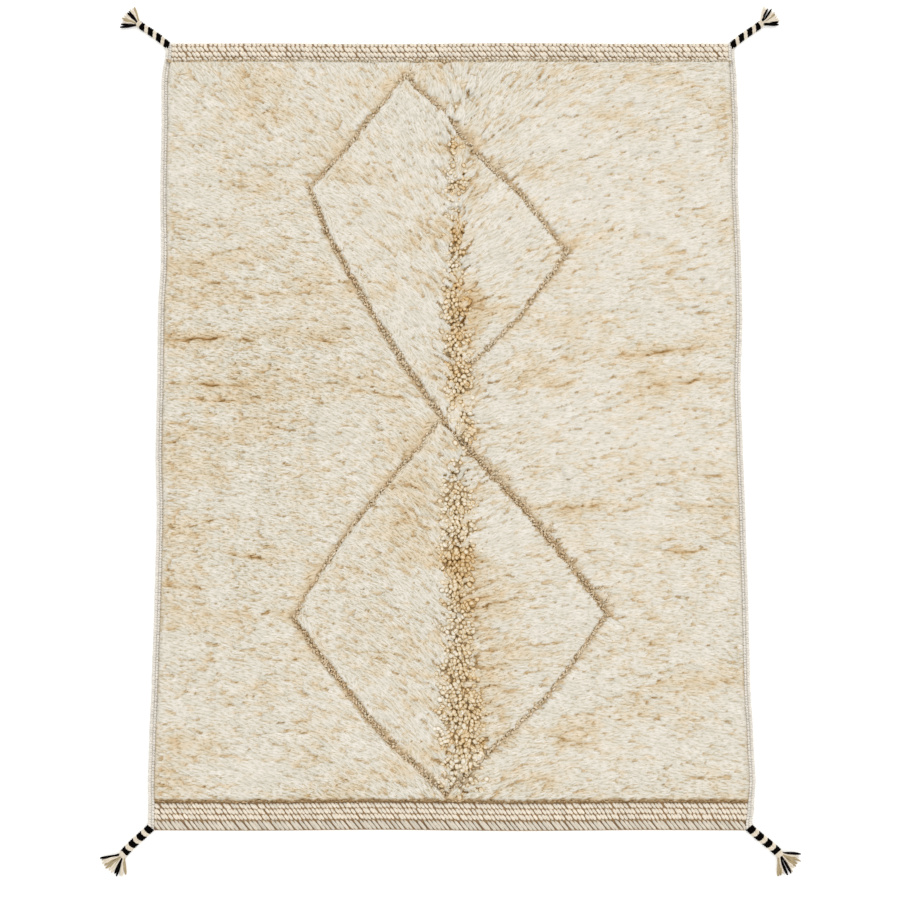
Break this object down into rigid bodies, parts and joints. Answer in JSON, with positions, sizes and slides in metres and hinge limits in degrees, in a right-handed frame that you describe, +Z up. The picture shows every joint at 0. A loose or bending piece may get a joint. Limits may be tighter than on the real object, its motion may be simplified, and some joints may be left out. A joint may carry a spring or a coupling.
{
  "type": "beni ourain rug",
  "caption": "Hand-knotted ivory wool shag rug with a brown lozenge pattern, twined end bands, bound sides, and a plaited black and ivory braid with a tassel at each corner.",
  "frame": {"origin": "on the floor, under the middle of the whole rug, braids included", "axes": "+Z up out of the pile, +Y along the warp towards the narrow end band, +X along the weft"},
  "size_m": [1.7425, 2.2476, 0.0277],
  "materials": {
    "pile_ivory": "undyed ivory wool shag, soft sheen, golden-brown clefts",
    "pile_brown": "undyed brown wool knots of the lozenge lines",
    "band_wool": "twined oatmeal wool with brown gaps",
    "selvedge_wool": "overcast pale wool cord",
    "braid_black": "black wool yarn",
    "braid_ivory": "ivory wool yarn"
  },
  "bodies": {
    "root": {"pile_field": "pile_ivory", "end_band_top": "band_wool", "end_band_bottom": "band_wool", "selvedge_left": "selvedge_wool", "selvedge_right": "selvedge_wool", "corner_braid_top_left": "braid_black", "corner_braid_top_right": "braid_black", "corner_braid_bottom_left": "braid_black", "corner_braid_bottom_right": "braid_black"}
  },
  "joints": []
}
